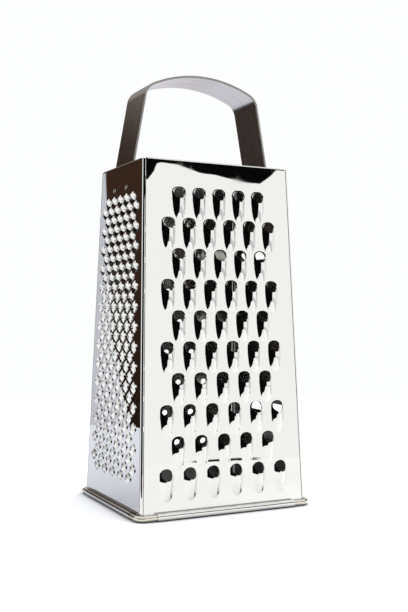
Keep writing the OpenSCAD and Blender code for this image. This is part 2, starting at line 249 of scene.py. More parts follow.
def fill_face(side, lo, hi):
    """Fills a panel's opened face with flat metal round all that stands in it."""
    to_panel = panel_place(side).inverted()
    rim = RIM_SHARE * FLAT_RIM

    def free_edge(e):
        m = to_panel @ middle(e)
        z = m.y * math.cos(side_lean(side))
        from_bend = side_half(side, z) - abs(m.x) - BEND_R
        cut_line = CUT_TOP - from_bend * (CUT_TOP - WIRE_Z) / (CORNER_CUT - BEND_R)
        return (len(e.link_faces) < 2 and abs(m.z) < TINY
                and lo(z) + rim < m.x < hi(z) - rim and z > cut_line + rim
                and up(side, WIRE_Z) + rim < m.y < up(side, WALL_TOP) - rim)

    pick("EDGE", free_edge)
    bpy.ops.mesh.fill(use_beauty=True)


def pressed_form(name, segments, levels, die):
    """A pressed hole: rings of faces are drawn out from its edge, then shaped by a die,
    which gives the place of each point from its angle and its share of the way out."""
    bpy.ops.object.select_all(action="DESELECT")
    bpy.ops.mesh.primitive_circle_add(vertices=segments, radius=1)
    form = bpy.context.object
    form.name = name
    edit(form)
    bpy.ops.mesh.select_all(action="SELECT")
    for i in range(len(levels) - 1):
        bpy.ops.mesh.extrude_edges_move()
        bpy.ops.transform.resize(value=((i + 2) / (i + 1),) * 3, center_override=(0, 0, 0))
    leave_edit()
    for v in form.data.vertices:
        ring = round(v.co.xy.length) - 1
        v.co = die(math.atan2(v.co.y, v.co.x), levels[ring])
    return form


def press_in(sheet, form, side, places):
    """Puts a copy of a pressed form at each place of a panel and joins them to the sheet."""
    bpy.ops.object.select_all(action="DESELECT")
    for x, y in places:
        mark = form.copy()
        mark.data = form.data.copy()
        bpy.context.collection.objects.link(mark)
        mark.matrix_world = panel_place(side) @ Matrix.Translation((x, y, 0))
        mark.select_set(True)
    sheet.select_set(True)
    bpy.context.view_layer.objects.active = sheet
    bpy.ops.object.join()


def staggered(side, rows, cols, drop, foot, pitch, fan_share):
    """Places of rows that lie evenly down a panel and widen towards its foot."""
    for i in range(rows):
        z = BODY_H - drop - i * (BODY_H - drop - foot) / (rows - 1)
        n = cols + i % 2
        for j in range(n):
            yield (j - (n - 1) / 2) * pitch * (1 + fan_share * i), up(side, z)


BLUNT = 2.6
CREST = 0.6
BROW = 1.16


def scoop_die(hole_r, width, length, lip):
    """The form of a scoop: a ridge behind an opened lip, which runs out below. Its outline
    has a blunt foot (BLUNT), its crest is rounded over a share of its width (CREST), and it
    starts a little above the hole (BROW)."""
    above = hole_r * BROW

    def place(a, s):
        c, n = math.cos(a), math.sin(a)
        end = length if n < 0 else above
        reach = min(s, 1)
        blunt = 1 - (1 - 2 / BLUNT) * reach if n < 0 else 1
        x = math.copysign(abs(c) ** blunt, c) * (hole_r + (width / 2 - hole_r) * reach)
        y = math.copysign(abs(n) ** blunt, n) * (hole_r + (end - hole_r) * reach)
        along = min(abs(y) / end, 1)
        power = BLUNT if n < 0 else 2
        half = width / 2 * (1 - along ** power) ** (1 / power)
        across = min(abs(x) / half, 1) if half > TINY else 1
        flank = across if across > CREST else (across ** 2 / CREST + CREST) / 2
        rise = max(0, (y + hole_r) / (above + hole_r))
        sink = max(0, (-y - hole_r) / (length - hole_r))
        ridge = lip * (1 - rise ** 2 * (3 - 2 * rise)) * (1 - sink ** 2)
        z = ridge * (1 - flank) / (1 - CREST / 2) if reach < 1 else 0
        if s > 1:
            x += (s - 1) * c * MM
            y += (s - 1) * n * MM
        return Vector((x, y, z))
    return place


COARSE = dict(rows=10, cols=5, drop=18.1 * MM, foot=22.8 * MM, pitch=12 * MM, fan_share=0.0163)
COARSE_RINGS = [0, 0.08, 0.2, 0.34, 0.48, 0.62, 0.75, 0.86, 0.94, 0.985, 1, 1.35]
coarse_die = scoop_die(hole_r=3.1 * MM, width=8 * MM, length=14.2 * MM, lip=2.6 * MM)
coarse_tooth = pressed_form("coarse_tooth", 40, COARSE_RINGS, coarse_die)


# Radius in mm at a petal and between petals, then height at both, for each ring of a star.
STAR_RINGS = [(0.6, 0.55, 1.35, 1.2), (0.95, 0.75, 1.6, 1.2), (1.6, 1.1, 1.2, 0.8),
              (2.4, 1.35, 0.6, 0.35), (3.15, 1.6, 0, 0), (3.25, 2, 0, 0)]
PETALS = 6
PETAL_SHARE = 0.5
STAR_SAG = 0.15


def star_die(a, s):
    """The form of a star point: a burst crown with petals torn and bent outward, whose
    skirt is drawn out a little downward."""
    turn = (a - math.pi / 2) / (2 * math.pi / PETALS)
    r_petal, r_notch, z_petal, z_notch = STAR_RINGS[s]
    on_petal = abs(turn - round(turn)) < PETAL_SHARE / 2
    r, z = (r_petal, z_petal) if on_petal else (r_notch, z_notch)
    c, n = math.cos(a), math.sin(a)
    x, y = r * c, r * n
    if s >= 2 and n < 0:
        y *= 1 + STAR_SAG * -n
    return Vector((x, y, z)) * MM


FINE = dict(rows=29, cols=5, drop=19.9 * MM, foot=19.6 * MM, pitch=9.1 * MM, fan_share=0.0107)
star_point = pressed_form("star_point", 2 * PETALS, range(len(STAR_RINGS)), star_die)


SPOT_SIDES = 20
SPOT_R = 1.6 * MM
SEAM_SPOT_R = 1.2 * MM


def spot_mark(name, radius):
    """The round edge that a weld spot leaves in the sheet."""
    bpy.ops.object.select_all(action="DESELECT")
    bpy.ops.mesh.primitive_circle_add(vertices=SPOT_SIDES, radius=radius)
    mark = bpy.context.object
    mark.name = name
    return mark


FOOT_WELD_DROP = 13.2 * MM
FOOT_WELD_PITCH = 17.4 * MM
STRAP_Y = 1 * MM
SEAM_WELDS = 6
TAB_START = 2.8 * MM
SEAM_MIDDLE = (TAB_START + LAP) / 2
SEAM_LOW = 2 * WIRE_Z
SEAM_HIGH = WALL_TOP - HEM_DROP


def foot_spots(side):
    along_y = 1 if side == RIGHT else -1
    y = up(side, BODY_H - FOOT_WELD_DROP)
    return [(along_y * (STRAP_Y + s * FOOT_WELD_PITCH / 2), y) for s in (-1, 1)]


def seam_spots(side):
    toward = -1 if side == RIGHT else 1
    for i in range(SEAM_WELDS):
        z = SEAM_LOW + (i + 0.5) * (SEAM_HIGH - SEAM_LOW) / SEAM_WELDS
        yield toward * (side_half(side, z) - SEAM_MIDDLE), up(side, z)


def panel_span(side, low_edge, high_edge):
    """The two ends of a panel's face as functions of height, by distance from its corners."""
    return (lambda z: low_edge - side_half(side, z)), (lambda z: side_half(side, z) - high_edge)


front_span = panel_span(FRONT, BEND_R, BEND_R)
left_span = panel_span(LEFT, BEND_R, BEND_R)
right_lap = (lambda z: BEND_R - half_d(z)), (lambda z: LAP - half_d(z))
back_lap = (lambda z: half_w(z) - LAP), (lambda z: half_w(z) - BEND_R)

pressed_faces = ((FRONT, front_span), (LEFT, left_span), (RIGHT, right_lap), (BACK, back_lap))
edit(front_left)
for side in (FRONT, LEFT):
    hem = side_half(side, BODY_H) - BEND_R - HEM_RELIEF
    bead = side_half(side, 0) - BEAD_MARGIN
    for s in (-1, 1):
        split_border(side, WALL_TOP, s * hem)
        split_border(side, WIRE_Z, s * bead)
        split_border(side, WIRE_Z, s * (side_half(side, WIRE_Z) - CORNER_CUT))
    fold_top(side, -hem, hem)
    roll_bottom(side, -bead, bead)
split_border(RIGHT, WIRE_Z, CORNER_CUT - half_d(WIRE_Z))
split_border(BACK, WIRE_Z, half_w(WIRE_Z) - CORNER_CUT)
lift_corners()
for side, span in pressed_faces:
    open_face(side, *span)
leave_edit()
foot_mark = spot_mark("foot_spot_mark", SPOT_R)
seam_mark = spot_mark("seam_spot_mark", SEAM_SPOT_R)
press_in(front_left, coarse_tooth, FRONT, staggered(FRONT, **COARSE))
press_in(front_left, star_point, LEFT, staggered(LEFT, **FINE))
press_in(front_left, foot_mark, LEFT, foot_spots(LEFT))
press_in(front_left, seam_mark, RIGHT, seam_spots(RIGHT))
press_in(front_left, seam_mark, BACK, seam_spots(BACK))
edit(front_left)
for side, span in pressed_faces:
    fill_face(side, *span)


DRAWN_SHARE = 0.35
DRAWN_START = 0.2 * MM
SHARP_ANGLE = math.radians(38)


def give_thickness(sheet):
    """Turns the modelled skin into sheet of real thickness, thinner where it is drawn out,
    and wears the rolled edges flat where they stand on the floor."""
    bpy.ops.mesh.select_all(action="SELECT")
    bpy.ops.mesh.remove_doubles(threshold=TINY)
    bpy.ops.mesh.normals_make_consistent(inside=False)
    leave_edit()
    full = sheet.vertex_groups.new(name="full_thickness")
    to_left = panel_place(LEFT).inverted()
    for v in sheet.data.vertices:
        star_metal = v.co.x <= 0 and (to_left @ v.co).z >= DRAWN_START
        full.add([v.index], DRAWN_SHARE if star_metal else 1, "REPLACE")
    wall = sheet.modifiers.new("wall", "SOLIDIFY")
    wall.thickness = SHEET
    wall.offset = -1
    wall.use_even_offset = True
    wall.vertex_group = "full_thickness"
    bpy.ops.object.modifier_apply(modifier="wall")
    for v in sheet.data.vertices:
        v.co.z = max(v.co.z, 0)
    bpy.ops.object.shade_smooth_by_angle(angle=SHARP_ANGLE)


give_thickness(front_left)


def srgb(code, strength=1):
    """A colour written as a hex number of sRGB, as the linear one that Blender takes."""
    parts = [(code >> shift & 255) / 255 for shift in (16, 8, 0)]
    linear = [p / 12.92 if p <= 0.04045 else ((p + 0.055) / 1.055) ** 2.4 for p in parts]
    return [strength * p for p in linear] + [1]


def add_node(tree, kind, settings=(), **sockets):
    """Adds a node with its settings, and fills or links its sockets by name, or by number
    where the key is i and a number."""
    node = tree.nodes.new("ShaderNode" + kind)
    for name, value in dict(settings).items():
        setattr(node, name, value)
    for key, value in sockets.items():
        numbered = key[0] == "i" and key[1:].isdigit()
        socket = node.inputs[int(key[1:]) if numbered else key.replace("_", " ")]
        if isinstance(value, bpy.types.NodeSocket):
            tree.links.new(value, socket)
        else:
            socket.default_value = value
    return node


def new_finish(name, viewport):
    """An empty node material with its shader, its tree and Object coordinates."""
    finish = bpy.data.materials.new(name)
    finish.use_nodes = True
    finish.diffuse_color = srgb(viewport)
    tree = finish.node_tree
    shader = tree.nodes["Principled BSDF"]
    coords = add_node(tree, "TexCoord").outputs["Object"]
    return finish, tree, shader, coords


# Stainless sheet, mirror polished: sharp reflections, broken by a faint waviness of the
# thin metal, fine polishing lines and a few dull fingered patches. The inside is left as
# it was rolled, which is duller, and its tone is darkened as painted shade for the dim
# inside of the body.
POLISHED_ROUGH, FINGERED_ROUGH = 0.004, 0.06
ROLLED_ROUGH = 0.2
TORN_ROUGH = 0.09
polished, tree, shader, coords = new_finish("mirror_polished_stainless_sheet", 0xC9C8C4)
shader.inputs["Metallic"].default_value = 1
tint = add_node(tree, "TexNoise", Vector=coords, Scale=35, Detail=3)
tone = add_node(tree, "Mix", dict(data_type="RGBA"), i0=tint.outputs["Fac"],
                i6=srgb(0xE0E1E0), i7=srgb(0xE8E8E7))
facing = add_node(tree, "NewGeometry").outputs["Normal"]
level = add_node(tree, "VectorMath", dict(operation="MULTIPLY"), i0=coords, i1=(1, 1, 0))
turned_out = add_node(tree, "VectorMath", dict(operation="DOT_PRODUCT"),
                      i0=facing, i1=level.outputs[0])
inside_rolled_and_shaded = add_node(tree, "Math", dict(operation="LESS_THAN"),
                 i0=turned_out.outputs["Value"], i1=0.0)
# Painted shade: the inner faces take a darker tone for the dim inside of the body; their added
# roughness below is the rolled finish.
tone = add_node(tree, "Mix", dict(data_type="RGBA"), i0=inside_rolled_and_shaded.outputs[0],
                i6=tone.outputs[2], i7=srgb(0xA9A5A1))
tree.links.new(tone.outputs[2], shader.inputs["Base Color"])
stretch = add_node(tree, "Mapping", Vector=coords, Scale=(1800, 1800, 40))
lines = add_node(tree, "TexNoise", Vector=stretch.outputs[0], Scale=1, Detail=2)
patches = add_node(tree, "TexNoise", Vector=coords, Scale=55, Detail=4)
dull = add_node(tree, "MapRange", Value=patches.outputs["Fac"], From_Min=0.6, From_Max=0.85,
                To_Min=POLISHED_ROUGH, To_Max=FINGERED_ROUGH)
rough = add_node(tree, "Math", dict(operation="MULTIPLY_ADD"),
                 i0=lines.outputs["Fac"], i1=0.006, i2=dull.outputs[0])
# The torn star points stand out from the left panel, and their stretched metal is dull.
outward = panel_place(LEFT).to_3x3() @ Vector((0, 0, 1))
raised = add_node(tree, "VectorMath", dict(operation="DOT_PRODUCT"), i0=coords, i1=outward)
height = add_node(tree, "Math", dict(operation="SUBTRACT"),
                  i0=raised.outputs["Value"], i1=BASE_W / 2 * math.cos(LEAN_W))
torn = add_node(tree, "MapRange", Value=height.outputs[0], From_Min=0.05 * MM, From_Max=0.5 * MM,
                To_Min=0, To_Max=TORN_ROUGH)
rough = add_node(tree, "Math", dict(operation="ADD"), i0=rough.outputs[0], i1=torn.outputs[0])
rough = add_node(tree, "Math", dict(operation="MULTIPLY_ADD"),
                 i0=inside_rolled_and_shaded.outputs[0], i1=ROLLED_ROUGH, i2=rough.outputs[0])
tree.links.new(rough.outputs[0], shader.inputs["Roughness"])
wave = add_node(tree, "TexNoise", Vector=coords, Scale=22, Detail=1)
wavy = add_node(tree, "Bump", Height=wave.outputs["Fac"], Strength=0.05, Distance=0.3 * MM)
lined = add_node(tree, "Bump", Height=lines.outputs["Fac"], Strength=0.012, Distance=0.02 * MM,
                 Normal=wavy.outputs[0])
tree.links.new(lined.outputs[0], shader.inputs["Normal"])


def dress(piece, finish, slot, *nodes):
    """Gives a piece its finish and its body, and hides the CAD nodes that it stands for. The slot
    is not used.
    """
    piece.data.materials.clear()
    piece.data.materials.append(finish)
    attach(piece, "root")
    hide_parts(*nodes)


dress(front_left, polished, "polished_sheet", "front_left_sheet")


# Back and right sheet: the other stainless sheet, with the medium holes, the three
# slicing slots and, under each lap of the first sheet, a stepped tab to weld to.
SEAM_GAP = 0.15 * MM
STOP = LAP + SEAM_GAP
# Steps of the tab in mm: how far past the seam's line and how deep under the lap.
TAB_STEPS = ((0.03, 0.08), (0.09, 0.3), (0.2, 0.48), (0.5, 0.53), ((STOP - TAB_START) / MM, 0.53))
MEDIUM = dict(rows=16, cols=6, drop=22.5 * MM, foot=26.5 * MM, pitch=7.8 * MM, fan_share=0.01)
medium_die = scoop_die(hole_r=1.9 * MM, width=5 * MM, length=7.2 * MM, lip=1.7 * MM)
MEDIUM_RINGS = [0, 0.2, 0.5, 0.78, 0.95, 1, 1.3]
medium_tooth = pressed_form("medium_tooth", 18, MEDIUM_RINGS, medium_die)
SLOT_RINGS = [0, 0.1, 0.35, 0.65, 0.9, 1, 1.35]
SLOT_HEIGHTS = (141.7 * MM, 96.2 * MM, 50.7 * MM)
SLOT_MARGIN = 9.8 * MM
SLOT_H = 5.7 * MM
SLOT_BROW = 0.8 * MM
SLOT_CHEEK = 1.2 * MM
BLADE_H = 2.1 * MM
BLADE_RAMP = 8 * MM
# Powers that turn a circle into a slot with nearly square ends, and those of the blade's
# rise from the ends to its middle and of its fall down the ramp.
SLOT_LONG, SLOT_TALL = 0.35, 0.6
BLADE_RISE, BLADE_FALL = 0.7, 1.1
BLADE_SAG = 0.25


def slot_die(run):
    """The form of a slicing slot, half as wide as the run: its lower edge stands out as a
    blade on a sloping ramp."""
    def place(a, s):
        c, n = math.cos(a), math.sin(a)
        along = math.copysign(abs(c) ** SLOT_LONG, c)
        across = math.copysign(abs(n) ** SLOT_TALL, n)
        reach = min(s, 1)
        foot = SLOT_H / 2 + (BLADE_RAMP if n < 0 else SLOT_BROW)
        x = along * (run + SLOT_CHEEK * reach)
        y = across * (SLOT_H / 2 + (foot - SLOT_H / 2) * reach)
        lift = max(0, -across) ** BLADE_RISE * (1 - abs(along) ** 6 * BLADE_SAG)
        z = BLADE_H * lift * (1 - reach) ** BLADE_FALL
        if s > 1:
            x += (s - 1) * c * MM
            y += (s - 1) * n * MM
        return Vector((x, y, z))
    return place


edit(back_right)
right_span = panel_span(RIGHT, STOP, BEND_R)
back_span = panel_span(BACK, BEND_R, STOP)
for side, span, toward, seam_x in ((RIGHT, right_span, 1, lambda z: LAP - half_d(z)),
                                   (BACK, back_span, -1, lambda z: half_w(z) - LAP)):
    to_panel = panel_place(side).inverted()
    along = panel_place(side).to_3x3() @ Vector((toward, 0, 0))
    inward = panel_place(side).to_3x3() @ Vector((0, 0, -1))

    def on_seam(v):
        m = to_panel @ v.co
        return abs(m.z) < TINY and abs(m.x - seam_x(v.co.z)) < TINY

    pick("VERT", on_seam)
    bpy.ops.transform.translate(value=along * SEAM_GAP)
    bpy.ops.mesh.select_mode(type="EDGE")
    reached = (0, 0)
    for out, deep in TAB_STEPS:
        step = (reached[0] - out) * MM * along + (deep - reached[1]) * MM * inward
        bpy.ops.mesh.extrude_edges_move(TRANSFORM_OT_translate={"value": step})
        reached = (out, deep)
    far = side_half(side, BODY_H) - BEND_R - HEM_RELIEF
    near = side_half(side, BODY_H) - STOP
    bead = side_half(side, 0) - BEAD_MARGIN
    split_border(side, WALL_TOP, toward * far)
    for s in (-1, 1):
        split_border(side, WIRE_Z, s * bead)
    split_border(side, WIRE_Z, toward * (side_half(side, WIRE_Z) - CORNER_CUT))
    fold_top(side, *((-near, far) if side == RIGHT else (-far, near)))
    roll_bottom(side, -bead, bead)
lift_corners()
for side, span in ((RIGHT, right_span), (BACK, back_span)):
    open_face(side, *span)
leave_edit()
press_in(back_right, medium_tooth, BACK, staggered(BACK, **MEDIUM))
press_in(back_right, foot_mark, RIGHT, foot_spots(RIGHT))
for z in SLOT_HEIGHTS:
    slot_form = pressed_form("slicing_slot", 64, SLOT_RINGS, slot_die(half_d(z) - SLOT_MARGIN))
    press_in(back_right, slot_form, RIGHT, [(0, up(RIGHT, z))])
    bpy.data.objects.remove(slot_form)
edit(back_right)
for side, span in ((RIGHT, right_span), (BACK, back_span)):
    fill_face(side, *span)
give_thickness(back_right)
dress(back_right, polished, "polished_sheet", "back_right_sheet")
for form in (coarse_tooth, star_point, medium_tooth, foot_mark, seam_mark):
    bpy.data.objects.remove(form)


# Seam welds: resistance weld spots that hold each lap to the tab under it. The electrode
# presses a shallow dish into the outer end of each and leaves the inner end nearly flat.
INNER_RISE, INNER_SHARE = 0.02 * MM, 0.3
# Rings of the dish: inset as a share of the spot's radius, and how much deeper in mm.
DISH_RINGS = ((0.12, 0.05), (0.16, 0.07), (0.3, 0.03))
SPOT_SHARP = math.radians(40)


def weld_spot(name, radius, depth):
    """A plug of fused metal with a dished outer end, as deep as the metal it joins."""
    bpy.ops.object.select_all(action="DESELECT")
    bpy.ops.mesh.primitive_circle_add(vertices=SPOT_SIDES, radius=radius, fill_type="NGON")
    spot = bpy.context.object
    spot.name = name
    edit(spot)
    bpy.ops.mesh.select_all(action="SELECT")
    bpy.ops.mesh.extrude_region_move(TRANSFORM_OT_translate={"value": (0, 0, -depth)})
    bpy.ops.mesh.inset(thickness=radius * INNER_SHARE, depth=INNER_RISE)
    pick("FACE", lambda f: len(f.verts) == SPOT_SIDES and middle(f).z > -depth / 2)
    for share, deep in DISH_RINGS:
        bpy.ops.mesh.inset(thickness=radius * share, depth=-deep * MM)
    bpy.ops.mesh.poke()
    bpy.ops.mesh.select_all(action="SELECT")
    bpy.ops.mesh.normals_make_consistent(inside=False)
    leave_edit()
    return spot


def set_spots(name, spot, side, places):
    """Copies a spot to each place of a panel and joins the copies as one group."""
    bpy.ops.object.select_all(action="DESELECT")
    group = []
    for x, y in places:
        one = spot.copy()
        one.data = spot.data.copy()
        bpy.context.collection.objects.link(one)
        one.matrix_world = panel_place(side) @ Matrix.Translation((x, y, 0))
        one.select_set(True)
        group.append(one)
    bpy.context.view_layer.objects.active = group[0]
    bpy.ops.object.join()
    bpy.ops.object.transform_apply(location=True, rotation=True, scale=True)
    bpy.ops.object.shade_smooth_by_angle(angle=SPOT_SHARP)
    group[0].name = name
    return group[0]


# Pressed weld metal, grained and a little duller than the sheet from the electrode, with
# a straw tint of heat.
weld_metal, tree, shader, coords = new_finish("pressed_weld_metal", 0x8C8781)
shader.inputs["Metallic"].default_value = 1
grain = add_node(tree, "TexNoise", Vector=coords, Scale=900, Detail=3)
tone = add_node(tree, "Mix", dict(data_type="RGBA"), i0=grain.outputs["Fac"],
                i6=srgb(0xA8A39E), i7=srgb(0xCAC4BE))
tree.links.new(tone.outputs[2], shader.inputs["Base Color"])
rough = add_node(tree, "MapRange", Value=grain.outputs["Fac"], To_Min=0.04, To_Max=0.12)
tree.links.new(rough.outputs[0], shader.inputs["Roughness"])
pits = add_node(tree, "Bump", Height=grain.outputs["Fac"], Strength=0.05, Distance=0.03 * MM)
tree.links.new(pits.outputs[0], shader.inputs["Normal"])

seam_spot = weld_spot("seam_weld_spot", SEAM_SPOT_R, 2 * SHEET)
for name, side in (("right_seam_welds", RIGHT), ("back_seam_welds", BACK)):
    spots = set_spots(name + "_pressed", seam_spot, side, seam_spots(side))
    dress(spots, weld_metal, "weld_spots", name)
bpy.data.objects.remove(seam_spot)


# Base wire: one ring of bright drawn stainless wire, bent round the four corners and
# closed, which the rolled bottom edges hold and which shows bare at the corners.
WIRE_RUN_STEPS, WIRE_CORNER_STEPS = 6, 10
wire_x, wire_y = half_w(WIRE_Z) + ROLL_R, half_d(WIRE_Z) + ROLL_R
bpy.ops.object.select_all(action="DESELECT")
bpy.ops.mesh.primitive_circle_add(vertices=20, radius=WIRE_R, rotation=(math.pi / 2, 0, 0),
                                  location=(wire_x, WIRE_CORNER_R - wire_y, WIRE_Z))
wire = bpy.context.object
bpy.ops.object.transform_apply(location=True, rotation=True, scale=True)
edit(wire)
bpy.ops.mesh.select_all(action="SELECT")
for turn in range(4):
    run = 2 * ((wire_y, wire_x)[turn % 2] - WIRE_CORNER_R)
    heading = Matrix.Rotation(math.radians(90 * turn), 3, "Z") @ Vector((0, 1, 0))
    step = heading * run / WIRE_RUN_STEPS
    for i in range(WIRE_RUN_STEPS):
        bpy.ops.mesh.extrude_edges_move(TRANSFORM_OT_translate={"value": step})
    sx, sy = [(1, 1), (-1, 1), (-1, -1), (1, -1)][turn]
    centre = (sx * (wire_x - WIRE_CORNER_R), sy * (wire_y - WIRE_CORNER_R), WIRE_Z)
    bpy.ops.mesh.spin(steps=WIRE_CORNER_STEPS, angle=-math.pi / 2, axis=(0, 0, 1), center=centre)
bpy.ops.mesh.select_all(action="SELECT")
bpy.ops.mesh.remove_doubles(threshold=TINY)
bpy.ops.mesh.normals_make_consistent(inside=False)
leave_edit()
bpy.ops.object.shade_smooth()
wire.name = "base_wire_drawn"

# Drawn stainless wire: bright, with faint die lines along it and a slightly warm tone.
drawn, tree, shader, coords = new_finish("drawn_stainless_wire", 0xB5B2AB)
shader.inputs["Metallic"].default_value = 1
marks = add_node(tree, "TexNoise", Vector=coords, Scale=260, Detail=4)
tone = add_node(tree, "Mix", dict(data_type="RGBA"), i0=marks.outputs["Fac"],
                i6=srgb(0xD9D3C8), i7=srgb(0xE7E4DC))
tree.links.new(tone.outputs[2], shader.inputs["Base Color"])
rough = add_node(tree, "MapRange", Value=marks.outputs["Fac"], To_Min=0.08, To_Max=0.24)
tree.links.new(rough.outputs[0], shader.inputs["Roughness"])
stretch = add_node(tree, "Mapping", Vector=coords, Scale=(300, 300, 2500))
die_lines = add_node(tree, "TexNoise", Vector=stretch.outputs[0], Scale=1, Detail=2)
lined = add_node(tree, "Bump", Height=die_lines.outputs["Fac"], Strength=0.15, Distance=0.03 * MM)
tree.links.new(lined.outputs[0], shader.inputs["Normal"])
dress(wire, drawn, "wire", "base_wire")


# Handle: one strap of stainless steel, brushed along its length, bent over as an arch.
# Its legs pass inside the folded top edges, step outward and lie flat on the side panels.
STRAP_W = 26 * MM
STRAP_T = 1.2 * MM
STRAP_RISE = 51.5 * MM
STRAP_LEAN = math.radians(10.2)
STRAP_BEND_R = 9.5 * MM
CROWN_R = 71 * MM
FOOT_REACH = 18.3 * MM
STRAP_FIT = 0.1 * MM
EDGE_SLANT = math.radians(1.2)
EDGE_ROUNDING = 0.22 * MM
ROUNDED_FROM, STRAP_SHARP = math.radians(50), math.radians(35)
FOOT_CORNER_R = 3 * MM
SHOULDER_STEPS, CROWN_STEPS = 14, 60
# How far the strap's middle lies behind a panel's outer face: flat on it, and past the hem.
hug = SHEET + STRAP_T / 2
clear = 2 * HEM_R + STRAP_FIT + STRAP_T / 2


def leg_x(z, off):
    return half_w(z) - off / math.cos(LEAN_W)


foot_z = BODY_H - FOOT_REACH
step_lo = WALL_TOP - HEM_DROP - clear + hug - STRAP_T / 2
step_hi = step_lo + clear - hug
leg_out = Vector((math.cos(STRAP_LEAN), 0, math.sin(STRAP_LEAN)))
leg_up = Vector((-math.sin(STRAP_LEAN), 0, math.cos(STRAP_LEAN)))
knee = Vector((leg_x(BODY_H, clear), 0, BODY_H))
crown_c = Vector((0, 0, BODY_H + STRAP_RISE - CROWN_R))
bend_line = leg_out * (leg_out.dot(knee) - (STRAP_BEND_R - STRAP_T / 2))
to_line = bend_line - crown_c
along = to_line.dot(leg_up)
rise = math.sqrt(along ** 2 - to_line.length_squared + (CROWN_R - STRAP_BEND_R) ** 2) - along
bend_c = bend_line + leg_up * rise
bend_end = math.atan2(bend_c.z - crown_c.z, bend_c.x - crown_c.x)
bend_start = bend_c + leg_out * (STRAP_BEND_R - STRAP_T / 2)
leg = [Vector((leg_x(foot_z, hug), 0, foot_z)), Vector((leg_x(step_lo, hug), 0, step_lo)),
       Vector((leg_x(step_hi, clear), 0, step_hi)), knee, bend_start]

bpy.ops.object.select_all(action="DESELECT")
bpy.ops.mesh.primitive_plane_add(size=1, location=(0, 0, 0))
strap = bpy.context.object
edit(strap)
pick("EDGE", lambda e: middle(e).x < TINY)
bpy.ops.mesh.delete(type="EDGE")
bpy.ops.mesh.select_all(action="SELECT")
bpy.ops.transform.resize(value=(1, STRAP_W, 1), center_override=(0, 0, 0))
edge_x = max(v.co.x for v in bmesh.from_edit_mesh(strap.data).verts)
bpy.ops.transform.translate(value=leg[0] + Vector((-edge_x, STRAP_Y, 0)))
for a, b in zip(leg, leg[1:]):
    bpy.ops.mesh.extrude_edges_move(TRANSFORM_OT_translate={"value": b - a})
other_c = Vector((-bend_c.x, 0, bend_c.z))
for steps, angle, centre in ((SHOULDER_STEPS, bend_end - STRAP_LEAN, bend_c),
                             (CROWN_STEPS, math.pi - 2 * bend_end, crown_c),
                             (SHOULDER_STEPS, bend_end - STRAP_LEAN, other_c)):
    bpy.ops.mesh.spin(steps=steps, angle=angle, axis=(0, 1, 0), center=centre)
for a, b in zip(leg[::-1], leg[-2::-1]):
    step = b - a
    bpy.ops.mesh.extrude_edges_move(TRANSFORM_OT_translate={"value": (-step.x, 0, step.z)})
bpy.ops.mesh.select_all(action="SELECT")
bpy.ops.mesh.remove_doubles(threshold=TINY)
bpy.ops.mesh.normals_make_consistent(inside=False)
pick("VERT", lambda v: v.co.z < foot_z + TINY)
bpy.ops.mesh.bevel(offset=FOOT_CORNER_R, segments=5, affect="VERTICES")
leave_edit()
wall = strap.modifiers.new("wall", "SOLIDIFY")
wall.thickness = STRAP_T
wall.offset = 0
wall.use_even_offset = True
bpy.ops.object.modifier_apply(modifier="wall")
# The blanking tool leaves the edges a little slanted, so that the outer face is narrower.
points = strap.data.vertices
skins = points[:len(points) // 2], points[len(points) // 2:]
for v in max(skins, key=lambda skin: max(v.co.z for v in skin)):
    v.co.y -= math.copysign(STRAP_T * math.tan(EDGE_SLANT), v.co.y - STRAP_Y)
rounding = strap.modifiers.new("rounding", "BEVEL")
rounding.width = EDGE_ROUNDING
rounding.segments = 3
rounding.limit_method = "ANGLE"
rounding.angle_limit = ROUNDED_FROM
bpy.ops.object.modifier_apply(modifier="rounding")
bpy.ops.object.shade_smooth_by_angle(angle=STRAP_SHARP)
flats = strap.modifiers.new("flats", "WEIGHTED_NORMAL")
flats.weight = 100
flats.keep_sharp = True
bpy.ops.object.modifier_apply(modifier="flats")
strap.name = "handle_strap_brushed"

# Stainless strap, brushed with an abrasive belt: fine lines of about 0.1 mm along it,
# drawn at 0.2 mm so that they show, which spread each reflection across the strap. The
# sheared long edges are duller.
SHEARED_ROUGH = 0.45
brushed, tree, shader, coords = new_finish("brushed_stainless_strap", 0x9A948D)
shader.inputs["Metallic"].default_value = 1
stretch = add_node(tree, "Mapping", Vector=coords, Scale=(40, 4500, 40))
fine = add_node(tree, "TexNoise", Vector=stretch.outputs[0], Scale=1, Detail=3)
wide = add_node(tree, "Mapping", Vector=coords, Scale=(18, 700, 18))
broad = add_node(tree, "TexNoise", Vector=wide.outputs[0], Scale=1, Detail=2)
both = add_node(tree, "Math", dict(operation="MULTIPLY_ADD"),
                i0=fine.outputs["Fac"], i1=0.6, i2=broad.outputs["Fac"])
tone = add_node(tree, "Mix", dict(data_type="RGBA"), i0=broad.outputs["Fac"],
                i6=srgb(0xA29F9D), i7=srgb(0xDEDCDA))
facing = add_node(tree, "SeparateXYZ", Vector=add_node(tree, "NewGeometry").outputs["Normal"])
sideways = add_node(tree, "Math", dict(operation="ABSOLUTE"), i0=facing.outputs["Y"])
sheared = add_node(tree, "MapRange", Value=sideways.outputs[0], From_Min=0.6, From_Max=0.85)
tone = add_node(tree, "Mix", dict(data_type="RGBA"), i0=sheared.outputs[0],
                i6=tone.outputs[2], i7=srgb(0xADA9A5))
tree.links.new(tone.outputs[2], shader.inputs["Base Color"])
rough = add_node(tree, "MapRange", Value=fine.outputs["Fac"], To_Min=0.1, To_Max=0.22)
rough = add_node(tree, "MapRange", Value=sheared.outputs[0], To_Min=rough.outputs[0],
                 To_Max=SHEARED_ROUGH)
tree.links.new(rough.outputs[0], shader.inputs["Roughness"])
brush = add_node(tree, "Bump", Height=both.outputs[0], Strength=0.08, Distance=0.03 * MM)
tree.links.new(brush.outputs[0], shader.inputs["Normal"])
dress(strap, brushed, "brushed_strap", "handle_strap")


